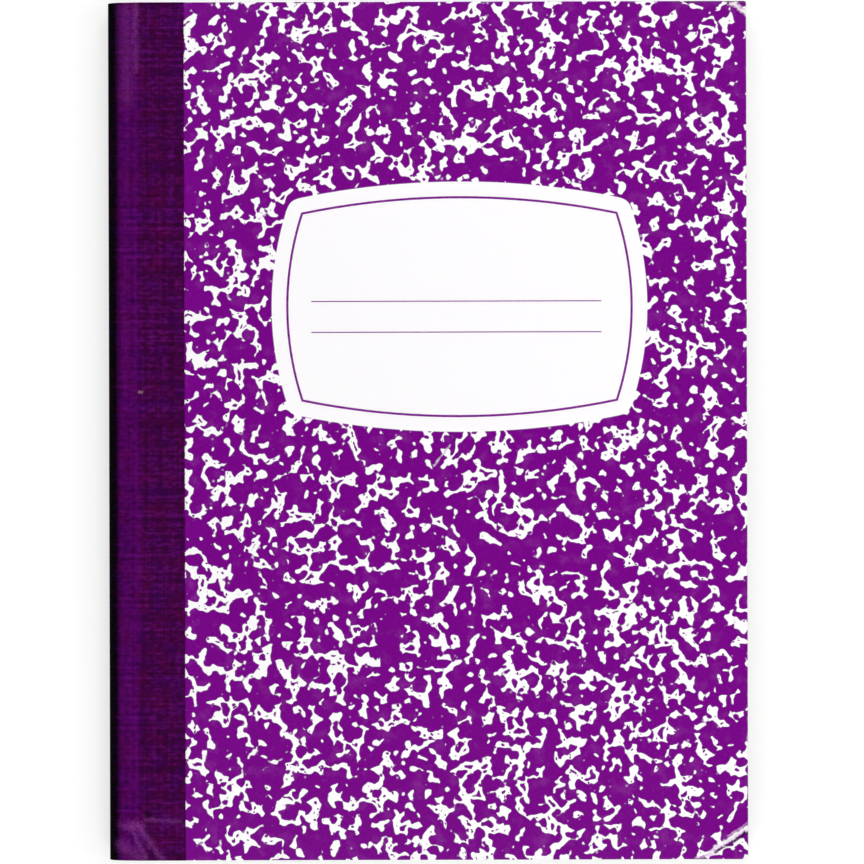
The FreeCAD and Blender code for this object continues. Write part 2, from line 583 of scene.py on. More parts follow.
@dataclass(frozen=True)
class MarbledPrint:
    """Coated cover paper with one ink printed in a drop marbling, under a thin varnish.

    The eye sees crisp ragged islands of white paper in a strong purple with a faint paler
    mottling and a soft gloss.
    """

    ink: str = "#790289"
    deep_ink: Tint = Tint("#680077", 0.5, 0.25, 0.8)
    pale_ink: Tint = Tint("#8E3598", 0.56, 0.8, 0.9)
    paper: str = "#FFFDFF"
    # Grain, size and shift of the pushes that make drops and then their edges stray.
    wander_mm: tuple[tuple[float, float, float], ...] = ((4.5, 2.6, 0.0), (1.5, 0.25, 3.0))
    ink_drops: tuple[Drops, ...] = (
        Drops(5.4, 0.52, 2.65, 0.0, 0.45),
        Drops(4.5, 0.43, 2.13, 0.311, 0.45),
        Drops(4.0, 0.28, 1.88, 0.733, 0.45),
        Drops(3.6, 0.14, 1.69, 1.271, 0.45),
    )
    ink_melt_mm: float = 1.5
    # Grain, size and detail of the swells in the ink's edge: ragged ones and slow ones.
    swells_mm: tuple[tuple[float, float, float], ...] = ((2.2, 1.8, 0.35), (10.0, 1.1, 1.0))
    # Value of the noise at which a swell neither adds ink nor takes it away.
    swell_mean: float = 0.512
    # Ink floods back into the middle of white that is further than this from the drops.
    core_mm: float = 1.12
    ink_dots: Drops = Drops(1.9, -0.42, 0.42, 2.9)
    dot_melt_mm: float = 0.15
    pale_dots: Drops = Drops(4.4, -1.1, 0.55, 4.4)
    pale_dot_fade_mm: float = 0.5
    pale_dot_share: float = 0.5
    print_edge_mm: float = 0.08
    label_edge: float = 0.08 * MM
    # Grain in millimetres, and detail, of the paler patches and of the specks in them.
    mottle: tuple[float, float] = (5.0, 3.0)
    speckle: tuple[float, float] = (0.7, 2.0)
    felt_mm: float = 1.1
    gloss: tuple[float, float] = (0.3, 0.46)
    relief: Relief = Relief(0.12, 0.05)
    mark_wander: tuple[float, float, float] = (3.0, 0.9, 1.7)

    def coverage(
        self,
        tree: NodeTree,
        place: Socket,
        moved: Socket,
        wandered: Socket,
        label: LabelField | None,
    ) -> Socket:
        """Adds the nodes that say where there is ink.

        Args:
            tree: The material's node tree.
            place: Where the surface is, in metres.
            moved: The place in this cover's own pattern.
            wandered: The place in the pattern, pushed about.
            label: The field that the print leaves open, if there is one.

        Returns:
            One on ink and nought on bare paper.
        """
        depths = [drops.depth(tree, wandered) for drops in self.ink_drops]
        cover = melt(tree, depths, self.ink_melt_mm)
        for grain, size, detail in self.swells_mm:
            swell = add_node(
                tree,
                "TexNoise",
                {"Vector": moved, "Scale": 1 / (grain * MM), "Detail": detail},
                noise_dimensions="2D",
            ).outputs["Fac"]
            centred = add_node(
                tree, "Math", {0: swell, 1: self.swell_mean}, operation="SUBTRACT"
            ).outputs[0]
            cover = add_node(
                tree, "Math", {0: centred, 1: size, 2: cover}, operation="MULTIPLY_ADD"
            ).outputs[0]
        half_core = self.core_mm / 2
        middle = add_node(tree, "Math", {0: cover, 1: half_core}, operation="ADD").outputs[0]
        from_middle = add_node(tree, "Math", {0: middle}, operation="ABSOLUTE").outputs[0]
        cover = add_node(
            tree, "Math", {0: from_middle, 1: half_core}, operation="SUBTRACT"
        ).outputs[0]
        dots = self.ink_dots.depth(tree, wandered)
        cover = melt(tree, (cover, dots), self.dot_melt_mm)
        inked = add_node(
            tree,
            "MapRange",
            {"Value": cover, "From Min": -self.print_edge_mm, "From Max": self.print_edge_mm},
            interpolation_type="SMOOTHSTEP",
        ).outputs[0]
        if label is None:
            return inked
        clear = add_node(
            tree,
            "MapRange",
            {
                "Value": label.outside(tree, place),
                "From Min": -self.label_edge,
                "From Max": self.label_edge,
            },
        ).outputs[0]
        return add_node(tree, "Math", {0: inked, 1: clear}, operation="MINIMUM").outputs[0]

    def ink_colour(self, tree: NodeTree, place: Socket) -> Socket:
        """Adds the purple with its mottling and its thinly inked specks, and returns it."""
        mottle, speckle = (
            add_node(
                tree,
                "TexNoise",
                {"Vector": place, "Scale": 1 / (grain * MM), "Detail": detail},
                noise_dimensions="2D",
            ).outputs["Fac"]
            for grain, detail in (self.mottle, self.speckle)
        )
        ink = self.deep_ink.over(tree, speckle, self.ink)
        ink = self.pale_ink.over(tree, mottle, ink, speckle)
        thin = add_node(
            tree,
            "MapRange",
            {
                "Value": self.pale_dots.depth(tree, place),
                "From Max": self.pale_dot_fade_mm,
                "To Max": self.pale_dot_share,
            },
            interpolation_type="SMOOTHSTEP",
        ).outputs[0]
        return add_node(
            tree, "Mix", {0: thin, 6: ink, 7: linear(self.paper)}, data_type="RGBA"
        ).outputs[2]

    def build(
        self,
        name: str,
        offset: tuple[float, float, float] = (0.0, 0.0, 0.0),
        label: LabelField | None = None,
        marks: tuple[Mark, ...] = (),
    ) -> Material:
        """Makes the material of one cover.

        Args:
            name: The material's name.
            offset: Moves the pattern, so that no two covers are alike.
            label: The field that the print leaves open, if there is one.
            marks: Cracks, rubs and stains on this cover, and painted shadow along a crease.

        Returns:
            The finished material.
        """
        material, tree, shader = new_material(name, {"IOR": 1.5, "Specular IOR Level": 0.1})
        place = flat_place(tree)
        moved = add_node(tree, "VectorMath", {0: place, 1: offset}, operation="ADD").outputs[0]
        wandered = moved
        for grain, size, shift in self.wander_mm:
            wandered = wander(tree, wandered, grain, size, shift)
        inked = self.coverage(tree, place, moved, wandered, label)
        colour = add_node(
            tree,
            "Mix",
            {0: inked, 6: linear(self.paper), 7: self.ink_colour(tree, moved)},
            data_type="RGBA",
        ).outputs[2]
        stray = wander(tree, place, *self.mark_wander)
        for mark in marks:
            colour = mark.over(tree, stray, colour)
        tree.links.new(colour, shader.inputs["Base Color"])
        felt = add_node(
            tree,
            "TexNoise",
            {"Vector": place, "Scale": 1 / (self.felt_mm * MM), "Detail": 4.0},
            noise_dimensions="2D",
        ).outputs["Fac"]
        least, most = self.gloss
        rough = add_node(
            tree, "MapRange", {"Value": felt, "To Min": least, "To Max": most}
        ).outputs[0]
        tree.links.new(rough, shader.inputs["Roughness"])
        self.relief.give(tree, shader, felt)
        return material


@dataclass(frozen=True)
class BoardEdge:
    """Cut edge of pressed pulp board: a matt grey white with fine layers and stray fibres."""

    pale: str = "#DDD8D2"
    dark: Tint = Tint("#B4ACA6", 0.35, 0.7)
    layer_mm: float = 0.18
    fibre_mm: float = 2.5
    relief: Relief = Relief(0.4, 0.08)

    def build(self) -> Material:
        """Makes the material."""
        material, tree, shader = new_material("cut_pulp_board", {"Roughness": 0.9, "IOR": 1.45})
        place = add_node(tree, "TexCoord").outputs["Object"]
        level, upright = 1 / self.fibre_mm, 1 / self.layer_mm
        drawn_out = add_node(
            tree, "Mapping", {0: place, "Scale": (level, level, upright)}
        ).outputs[0]
        layers = add_node(
            tree, "TexNoise", {"Vector": drawn_out, "Scale": 1 / MM, "Detail": 3.0}
        ).outputs["Fac"]
        colour = self.dark.over(tree, layers, self.pale)
        tree.links.new(colour, shader.inputs["Base Color"])
        self.relief.give(tree, shader, layers)
        return material


@dataclass(frozen=True)
class LiningPaper:
    """Uncoated paper on the inside of a cover: warm white, matt, with a cloudy fibre look."""

    pale: str = "#F4F0E8"
    cloud: Tint = Tint("#EDE8DE", 0.35, 0.75)
    # Grain in millimetres, and detail.
    clouds: tuple[float, float] = (3.0, 5.0)
    fibres: tuple[float, float] = (0.35, 3.0)
    relief: Relief = Relief(0.25, 0.04)

    def build(self) -> Material:
        """Makes the material."""
        material, tree, shader = new_material(
            "uncoated_lining_paper", {"Roughness": 0.85, "IOR": 1.45}
        )
        place = flat_place(tree)
        clouds, fibres = (
            add_node(
                tree,
                "TexNoise",
                {"Vector": place, "Scale": 1 / (grain * MM), "Detail": detail},
                noise_dimensions="2D",
            ).outputs["Fac"]
            for grain, detail in (self.clouds, self.fibres)
        )
        colour = self.cloud.over(tree, clouds, self.pale)
        tree.links.new(colour, shader.inputs["Base Color"])
        self.relief.give(tree, shader, fibres)
        return material


@dataclass(frozen=True)
class BookCloth:
    """Plain woven cotton tape, dyed dark purple and filled with starch.

    The eye sees uneven threads along and across the spine that lean to blue and to red, a
    paler band where the cloth slopes down to the fold, and a round painted almost black as
    shade. The weave is drawn 0.5 mm apart and the uneven threads about 1 mm apart, coarser
    than real ones, so that they show.
    """

    flat: str = "#3C003D"
    # Paler tone of the slope between the round and the crease.
    slope_tone: str = "#4E0059"
    # Painted shade: the round is coloured near black where it turns away from the light.
    round: str = "#030005"
    clouds: tuple[Tint, ...] = (
        Tint("#3A005E", 0.52, 0.75, 0.4),
        Tint("#540038", 0.48, 0.25, 0.4),
    )
    threads: tuple[Tint, ...] = (
        Tint("#6A0E76", 1.47, 2.15, 0.65),
        Tint("#220022", 1.47, 0.8, 0.8),
    )
    thread_mm: float = 0.5
    streak_mm: float = 1.15
    cloud_mm: float = 5.0
    # How far threads are drawn out across the spine and along it.
    weft: tuple[float, float] = (45.0, 0.9)
    warp: tuple[float, float] = (0.9, 45.0)
    slubs: tuple[float, float] = (1.6, 0.9)
    warp_weight: float = 0.7
    slub_weight: float = 1.2
    weave_weight: float = 0.05
    # Millimetres before and after the slope's foot, and the crease, where two bands blend.
    foot_blend: tuple[float, float] = (2.2, 0.3)
    crease_blend: tuple[float, float] = (1.2, 0.8)
    # How strongly threads and clouds show on the round, which is painted near black as shade.
    round_share: float = 0.15
    mark_wander: tuple[float, float, float] = (3.0, 1.2, 1.7)
    relief: Relief = Relief(0.2, 0.03)

    def streaks(self, tree: NodeTree, place: Socket, stretch: tuple[float, float]) -> Socket:
        """Adds uneven threads that are drawn out along one direction.

        Args:
            tree: The material's node tree.
            place: Where the cloth is, in metres along its own surface.
            stretch: Threads a patch is long across the spine, and along it.

        Returns:
            A value about one half.
        """
        across, along = stretch
        drawn_out = add_node(
            tree, "VectorMath", {0: place, 1: (1 / across, 1 / along, 0)}, operation="MULTIPLY"
        ).outputs[0]
        return add_node(
            tree,
            "TexNoise",
            {"Vector": drawn_out, "Scale": 1 / (self.streak_mm * MM), "Detail": 1.0},
            noise_dimensions="2D",
        ).outputs["Fac"]

    def weave(self, tree: NodeTree, place: Socket) -> Socket:
        """Adds the height of a plain weave, from nought to one, and returns it."""
        turned = add_node(
            tree,
            "VectorMath",
            {0: place, "Scale": math.pi / (self.thread_mm * MM)},
            operation="SCALE",
        ).outputs[0]
        split = add_node(tree, "SeparateXYZ", {0: turned})
        waves = [
            add_node(tree, "Math", {0: split.outputs[i]}, operation="SINE").outputs[0]
            for i in range(2)
        ]
        checks = add_node(tree, "Math", {0: waves[0], 1: waves[1]}, operation="MULTIPLY").outputs[0]
        return add_node(
            tree, "MapRange", {"Value": checks, "From Min": -1.0, "From Max": 1.0}
        ).outputs[0]

    def bands(self, tree: NodeTree, across: Socket, tape: "SpineTape") -> Socket:
        """Adds three colour bands from the nose to the tape's edge, with painted shade on the
        round.

        Args:
            tree: The material's node tree.
            across: Distance from the nose along the cloth, in metres.
            tape: The tape, for the places of its round and its crease.

        Returns:
            The cloth's colour without its threads.
        """
        on_slope, on_board = (
            add_node(
                tree,
                "MapRange",
                {"Value": across, "From Min": place - before * MM, "From Max": place + after * MM},
                interpolation_type="SMOOTHSTEP",
            ).outputs[0]
            for place, (before, after) in (
                (tape.round_length, self.foot_blend),
                (tape.crease_at, self.crease_blend),
            )
        )
        cover = {0: on_board, 6: linear(self.slope_tone), 7: linear(self.flat)}
        colour = add_node(tree, "Mix", cover, data_type="RGBA").outputs[2]
        # The round's band is painted shade.
        return add_node(
            tree, "Mix", {0: on_slope, 6: linear(self.round), 7: colour}, data_type="RGBA"
        ).outputs[2]

    def build(self, name: str, tape: "SpineTape", marks: tuple[Mark, ...]) -> Material:
        """Makes the material of one half of the tape.

        Args:
            name: The material's name.
            tape: The tape, for the places of its round and its crease.
            marks: Scuffs and stains, across the tape from its nose and along the spine.

        Returns:
            The finished material.
        """
        material, tree, shader = new_material(
            name, {"Roughness": 0.75, "IOR": 1.5, "Specular IOR Level": 0.04}
        )
        sheet = add_node(tree, "UVMap", uv_map=tape.uv_name).outputs[0]
        scale = tape.book.height
        place = add_node(
            tree,
            "VectorMath",
            {0: sheet, 1: (scale, scale, 0), 2: (0, tape.book.tail_y, 0)},
            operation="MULTIPLY_ADD",
        ).outputs[0]
        across = add_node(tree, "SeparateXYZ", {0: place}).outputs[0]
        colour = self.bands(tree, across, tape)
        clouds = add_node(
            tree,
            "TexNoise",
            {"Vector": place, "Scale": 1 / (self.cloud_mm * MM), "Detail": 2.0},
            noise_dimensions="2D",
        ).outputs["Fac"]
        weave = self.weave(tree, place)
        streaks = self.streaks(tree, place, self.weft)
        for stretch, weight in ((self.warp, self.warp_weight), (self.slubs, self.slub_weight)):
            more = self.streaks(tree, place, stretch)
            streaks = add_node(
                tree, "Math", {0: more, 1: weight, 2: streaks}, operation="MULTIPLY_ADD"
            ).outputs[0]
        woven = add_node(
            tree, "Math", {0: weave, 1: self.weave_weight, 2: streaks}, operation="MULTIPLY_ADD"
        ).outputs[0]
        # Threads and clouds fade where the round's painted shade begins.
        shown = add_node(
            tree,
            "MapRange",
            {
                "Value": across,
                "From Min": tape.round_length - self.foot_blend[0] * MM,
                "From Max": tape.round_length,
                "To Min": self.round_share,
            },
        ).outputs[0]
        for field, tints in ((clouds, self.clouds), (woven, self.threads)):
            for tint in tints:
                colour = tint.over(tree, field, colour, shown)
        stray = wander(tree, place, *self.mark_wander)
        for mark in marks:
            colour = mark.over(tree, stray, colour)
        tree.links.new(colour, shader.inputs["Base Color"])
        height = add_node(tree, "Math", {0: weave, 1: streaks}, operation="ADD").outputs[0]
        self.relief.give(tree, shader, height)
        return material


@dataclass(frozen=True)
class WritingPaper:
    """Uncoated writing paper cut in a stack: warm white, with fine darker lines between leaves.

    The lines are painted shade for the gaps between leaves, drawn 0.27 mm apart, coarser
    than real leaves, so that they show.
    """

    pale: str = "#FCFAF5"
    # Painted shade of the gaps between leaves.
    dark: Tint = Tint("#E2DDD4", 0.4, 0.75)
    leaf_mm: float = 0.27
    # The lines run level, so the noise hardly changes along them.
    level_scale: float = 0.03

    def build(self) -> Material:
        """Makes the material."""
        material, tree, shader = new_material(
            "trimmed_writing_paper", {"Roughness": 0.88, "IOR": 1.45}
        )
        place = add_node(tree, "TexCoord").outputs["Object"]
        level = self.level_scale
        drawn_out = add_node(
            tree, "Mapping", {0: place, "Scale": (level, level, 1 / self.leaf_mm)}
        ).outputs[0]
        leaves = add_node(
            tree, "TexNoise", {"Vector": drawn_out, "Scale": 1 / MM, "Detail": 2.0}
        ).outputs["Fac"]
        colour = self.dark.over(tree, leaves, self.pale)
        tree.links.new(colour, shader.inputs["Base Color"])
        return material


@dataclass(frozen=True)
class RuledPage:
    """Printed ruling on writing paper: thin pale blue lines and one pale red margin line."""

    paper: str = "#F5F1E7"
    cloud: Tint = Tint("#E8E2D4", 0.4, 0.8, 0.3)
    cloud_mm: float = 4.0
    blue: str = "#9DB8DC"
    red: str = "#DE9AA6"
    pitch_mm: float = 7.9
    line_mm: float = 0.28
    head_margin_mm: float = 30.0
    side_margin_mm: float = 32.0

    def build(self, book: BookSize) -> Material:
        """Makes the material of the outermost pages.

        Args:
            book: The book's places.

        Returns:
            The finished material.
        """
        material, tree, shader = new_material(
            "ruled_writing_paper", {"Roughness": 0.88, "IOR": 1.45}
        )
        place = flat_place(tree)
        split = add_node(tree, "SeparateXYZ", {0: place})
        below_head = add_node(
            tree, "Math", {0: book.head_y, 1: split.outputs[1]}, operation="SUBTRACT"
        ).outputs[0]
        from_line = add_node(
            tree, "Math", {0: below_head, 1: self.pitch_mm / 2 * MM}, operation="PINGPONG"
        ).outputs[0]
        written = add_node(
            tree, "Math", {0: below_head, 1: self.head_margin_mm * MM}, operation="GREATER_THAN"
        ).outputs[0]
        from_margin = add_node(
            tree,
            "Math",
            {0: split.outputs[0], 1: book.hinge_x + self.side_margin_mm * MM},
            operation="SUBTRACT",
        ).outputs[0]
        beside = add_node(tree, "Math", {0: from_margin}, operation="ABSOLUTE").outputs[0]
        blue, red = (
            add_node(
                tree, "Math", {0: distance, 1: self.line_mm / 2 * MM}, operation="LESS_THAN"
            ).outputs[0]
            for distance in (from_line, beside)
        )
        blue = add_node(tree, "Math", {0: blue, 1: written}, operation="MULTIPLY").outputs[0]
        clouds = add_node(
            tree,
            "TexNoise",
            {"Vector": place, "Scale": 1 / (self.cloud_mm * MM), "Detail": 4.0},
            noise_dimensions="2D",
        ).outputs["Fac"]
        colour = self.cloud.over(tree, clouds, self.paper)
        for share, ink in ((blue, self.blue), (red, self.red)):
            colour = add_node(
                tree, "Mix", {0: share, 6: colour, 7: linear(ink)}, data_type="RGBA"
            ).outputs[2]
        tree.links.new(colour, shader.inputs["Base Color"])
        return material


@dataclass(frozen=True)
class PrintingInk:
    """A thin line of printing ink: flat purple, with its density a little uneven."""

    name: str
    full: str
    thin: Tint
    patch_mm: float = 1.5

    def build(self) -> Material:
        """Makes the material."""
        material, tree, shader = new_material(
            self.name, {"Roughness": 0.4, "IOR": 1.5, "Specular IOR Level": 0.1}
        )
        density = add_node(
            tree,
            "TexNoise",
            {"Vector": flat_place(tree), "Scale": 1 / (self.patch_mm * MM), "Detail": 3.0},
            noise_dimensions="2D",
        ).outputs["Fac"]
        colour = self.thin.over(tree, density, self.full)
        tree.links.new(colour, shader.inputs["Base Color"])
        return material


BORDER_INK = PrintingInk("border_printing_ink", "#790289", Tint("#8C2F98", 0.4, 0.75))
LINE_INK = PrintingInk("fine_line_printing_ink", "#7A0F8A", Tint("#8E3A9B", 0.4, 0.75))


@dataclass(frozen=True)
class SpunThread:
    """Twisted white cotton thread: matt, with lines of painted shade between its plies."""

    pale: str = "#EFE9DC"
    # Painted shade in the grooves between plies.
    dark: str = "#B8AE9A"
    twist_mm: float = 1.131
    slant: tuple[float, float, float] = (0.6, 0.4, 0.6)
    relief: Relief = Relief(0.5, 0.05)

    def build(self) -> Material:
        """Makes the material."""
        material, tree, shader = new_material("spun_cotton_thread", {"Roughness": 0.9, "IOR": 1.45})
        place = add_node(tree, "TexCoord").outputs["Object"]
        turned = add_node(tree, "Mapping", {0: place, "Rotation": self.slant}).outputs[0]
        plies = add_node(
            tree, "TexWave", {"Vector": turned, "Scale": WAVE_LENGTH / (self.twist_mm * MM)}
        ).outputs["Fac"]
        colour = add_node(
            tree, "Mix", {0: plies, 6: linear(self.dark), 7: linear(self.pale)}, data_type="RGBA"
        ).outputs[2]
        tree.links.new(colour, shader.inputs["Base Color"])
        self.relief.give(tree, shader, plies)
        return material


@dataclass
class Cover:
    """A board cover: a thin slab with softened corners and edges."""

    book: BookSize
    side: Side
    board_edge: Material
    lining: Material
    corner_radius: float = 0.7 * MM
    corner_segments: int = 4
    edge_radius: float = 0.14 * MM
    edge_segments: int = 3
    # Edges sharper than the first angle are rounded, and past the second shaded sharp.
    rounded_angle: float = 60.0
    sharp_angle: float = 50.0
    # How far a face's normal leans out where it is printed, and in where it is lined.
    printed_lean: float = 0.3
    lined_lean: float = 0.7

    def slab(self, name: str, low_z: float, high_z: float) -> Piece:
        """Makes the board from a cube, with its standing corners rounded.

        Args:
            name: The piece's name.
            low_z: Height of its lower face.
            high_z: Height of its upper face.

        Returns:
            The board.
        """
        book = self.book
        deselect_all()
        bpy.ops.mesh.primitive_cube_add(
            size=1,
            location=((book.hinge_x + book.fore_x) / 2, 0, (low_z + high_z) / 2),
            scale=(book.fore_x - book.hinge_x, book.height, high_z - low_z),
        )
        piece = bpy.context.object
        piece.name = name
        piece.data.name = name
        bpy.ops.object.transform_apply(location=True, rotation=True, scale=True)
        start_editing(piece)
        pick(
            piece,
            Element.EDGES,
            lambda edge: all(v.co.x > book.fore_x - TINY for v in edge.verts)
            and abs(edge.verts[0].co.z - edge.verts[1].co.z) > TINY,
        )
        bpy.ops.mesh.bevel(offset=self.corner_radius, segments=self.corner_segments, affect="EDGES")
        stop_editing()
        return piece

    def soften(self, piece: Piece) -> None:
        """Rounds the edges of the board and shades it."""
        bevel = piece.modifiers.new("soft_edges", "BEVEL")
        bevel.width = self.edge_radius
        bevel.segments = self.edge_segments
        bevel.limit_method = "ANGLE"
        bevel.angle_limit = math.radians(self.rounded_angle)
        apply_modifiers(piece)
        smooth(piece, self.sharp_angle)

    def dress(self, piece: Piece, printed: Material) -> None:
        """Gives the board its print outside, its lining inside and its cut edges."""
        out = self.side.value
        give_finish(piece, self.board_edge, lambda face: True)
        give_finish(piece, printed, lambda face: face.normal.z * out > self.printed_lean)
        give_finish(piece, self.lining, lambda face: face.normal.z * out < -self.lined_lean)


@dataclass
class BackCover(Cover):
    """The cover that the book lies on, with the marbling all over."""

    pattern_offset: tuple[float, float, float] = (0.431, 0.777, 0.0)
    clearance: float = 0.02 * MM

    def build(self) -> Piece:
        """Makes and dresses the back cover, and returns it."""
        book = self.book
        low_z = book.top_z - book.print_front_z + self.clearance
        piece = self.slab("back_cover", low_z, book.block_back_z)
        self.soften(piece)
        rubs = (
            Mark((92.0, -60.0), (92.0, 80.0), 0.7, "#E6D5E6", 0.6, 2.2, 0.15),
            Mark((91.6, 123.2), (90.6, 122.6), 1.4, "#EAD8E6", 0.8, 0.7),
            Mark((91.8, -123.3), (90.2, -122.2), 1.8, "#EAD8E6", 0.8, 0.7),
            Mark((12.0, 40.0), (34.0, 52.0), 0.4, "#B79ABF", 0.4, 0.8),
            Mark((-30.0, -71.0), (-9.0, -58.0), 0.35, "#B79ABF", 0.35, 0.9),
        )
        printed = MarbledPrint().build("marbled_coated_paper_back", self.pattern_offset, None, rubs)
        self.dress(piece, printed)
        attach(piece, "back")
        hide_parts("back_board", "back_print")
        report(piece)
        return piece


@dataclass
class FrontCover(Cover):
    """The cover with the label, and with one corner bent up along a cracked crease."""

    crease_top: tuple[float, float] = (92.0 * MM, -114.9 * MM)
    crease_end: tuple[float, float] = (79.0 * MM, -123.5 * MM)
    bend: float = math.radians(3)
    # Distance from the crease towards the middle of the cover, and how far that line of
    # the upper face stands above the rest.
    ridge: tuple[tuple[float, float], ...] = (
        (2.2 * MM, 0.0),
        (1.4 * MM, 0.05 * MM),
        (0.75 * MM, 0.13 * MM),
        (0.3 * MM, 0.12 * MM),
        (0.0, -0.08 * MM),
        (-0.3 * MM, -0.02 * MM),
    )
    bent_lines: tuple[float, ...] = (-1.0 * MM, -2.2 * MM, -3.8 * MM, -5.4 * MM)
    paper_rise: float = 0.03 * MM
    label_centre: tuple[float, float] = (9.3 * MM, 35.7 * MM)
    label_half_width: float = 45.25 * MM
    label_half_height: float = 26.9 * MM
    label_side_bulge: float = 4.3 * MM
    label_top_bulge: float = 4.6 * MM
    label_margin: float = 4.5 * MM

    def label_field(self) -> LabelField:
        """The open field round the label, from the sizes of its border."""
        side_radius = arc_radius(self.label_half_height, self.label_side_bulge)
        top_radius = arc_radius(self.label_half_width, self.label_top_bulge)
        return LabelField(
            centre=self.label_centre,
            half_width=self.label_half_width + self.label_side_bulge + self.label_margin,
            half_height=self.label_half_height + self.label_top_bulge + self.label_margin,
            side_radius=side_radius + self.label_margin,
            top_radius=top_radius + self.label_margin,
        )

    def marks(self) -> tuple[Mark, ...]:
        """Cracks and painted shadow at the crease, wear at corners and edges, one rub streak."""
        return (
            Mark((92.4, -113.9), (82.6, -120.4), 1.05, "#FBF4FA", 0.95, 1.2, 0.3),
            Mark((83.6, -119.8), (79.6, -122.4), 0.7, "#EFD9EE", 0.8, 0.9, 0.3),
            Mark((91.9, -113.1), (86.0, -117.0), 0.4, "#D9A9D8", 0.7, 0.7, 0.4),
            Mark((91.0, -115.0), (84.6, -119.4), 0.35, "#E3BFE2", 0.6, 0.8, 0.4),
            Mark((83.4, -121.4), (77.0, -123.3), 0.7, "#DDBBDD", 0.6, 0.8, 0.35),
            # Painted shadow: two dark lines on the tip's side of the crease, where its step casts
            # shade.
            Mark((93.4, -114.8), (87.6, -118.3), 0.8, "#3C0848", 0.95, 1.5, 0.45),
            Mark((89.2, -117.4), (82.4, -121.6), 0.55, "#4A1654", 0.85, 1.0, 0.35),
            Mark((76.4, -123.4), (84.4, -123.5), 0.4, "#6A5A70", 0.6, 0.9, 0.3),
            Mark((92.0, 119.8), (88.0, 123.2), 1.4, "#F5E8F1", 0.95, 0.9, 0.35),
            Mark((91.6, 121.0), (86.4, 122.6), 0.4, "#C7A3C5", 0.6, 0.7, 0.3),
            Mark((70.0, 123.5), (91.4, 123.4), 0.5, "#4E4650", 0.8, 1.2, 0.35),
            Mark((-69.0, 123.7), (72.0, 123.7), 0.45, "#8E8496", 0.5, 2.5, 0.3),
            Mark((92.2, -112.0), (92.2, 119.0), 0.4, "#E4CDE4", 0.5, 2.5, 0.15),
            Mark((6.5, -4.1), (1.6, -10.1), 0.5, "#D3C4D4", 0.85, 0.6, 0.35),
            Mark((6.9, -1.3), (7.2, -1.7), 0.45, "#6A5A70", 0.7, 0.4, 0.3),
        )

    def shape_corner(self, piece: Piece) -> None:
        """Cuts lines along the crease, raises the ridge and bends the corner up."""
        book = self.book
        top = Vector((*self.crease_top, 0))
        along = (Vector((*self.crease_end, 0)) - top).normalized()
        inward = Vector((along.y, -along.x, 0))
        if inward.x > 0:
            inward = -inward
        places = [line for line, _ in self.ridge] + list(self.bent_lines)
        tip = (Vector((book.fore_x, book.tail_y, 0)) - top).dot(inward)
        middle_z = (book.block_front_z + book.board_front_z) / 2
        start_editing(piece)
        bpy.ops.mesh.select_mode(type="VERT")
        cut_along(inward, [top + inward * line for line in places])
        lifts = [(line, rise, True) for line, rise in self.ridge]
        steps = sorted({*self.bent_lines, tip})
        lifts += [(line, -line * math.tan(self.bend), False) for line in steps]
        for line, rise, only_upper in lifts:
            pick(
                piece,
                Element.VERTICES,
                lambda v: self.on_line(v.co - top, inward, line, tip)
                and (v.co.z > middle_z or not only_upper),
            )
            bpy.ops.transform.translate(value=(0, 0, rise))
        stop_editing()

    def on_line(self, away: Vector, inward: Vector, line: float, tip: float) -> bool:
        """Whether a vertex is on a line along the crease, with the tip's few as one line."""
        distance = away.dot(inward)
        if line == tip:
            return distance < self.bent_lines[-1] - TINY
        return abs(distance - line) < TINY

    def build(self) -> Piece:
        """Makes and dresses the front cover, and returns it."""
        book = self.book
        high_z = book.board_front_z + self.paper_rise
        piece = self.slab("front_cover", book.block_front_z, high_z)
        self.shape_corner(piece)
        self.soften(piece)
        printed = MarbledPrint().build(
            "marbled_coated_paper_front", (0.0, 0.0, 0.0), self.label_field(), self.marks()
        )
        self.dress(piece, printed)
        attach(piece, "front")
        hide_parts("front_board", "front_print")
        report(piece)
        return piece


def arc_radius(half_chord: float, bulge: float) -> float:
    """Radius of an arc from half its chord and its bulge."""
    return (half_chord ** 2 + bulge ** 2) / (2 * bulge)


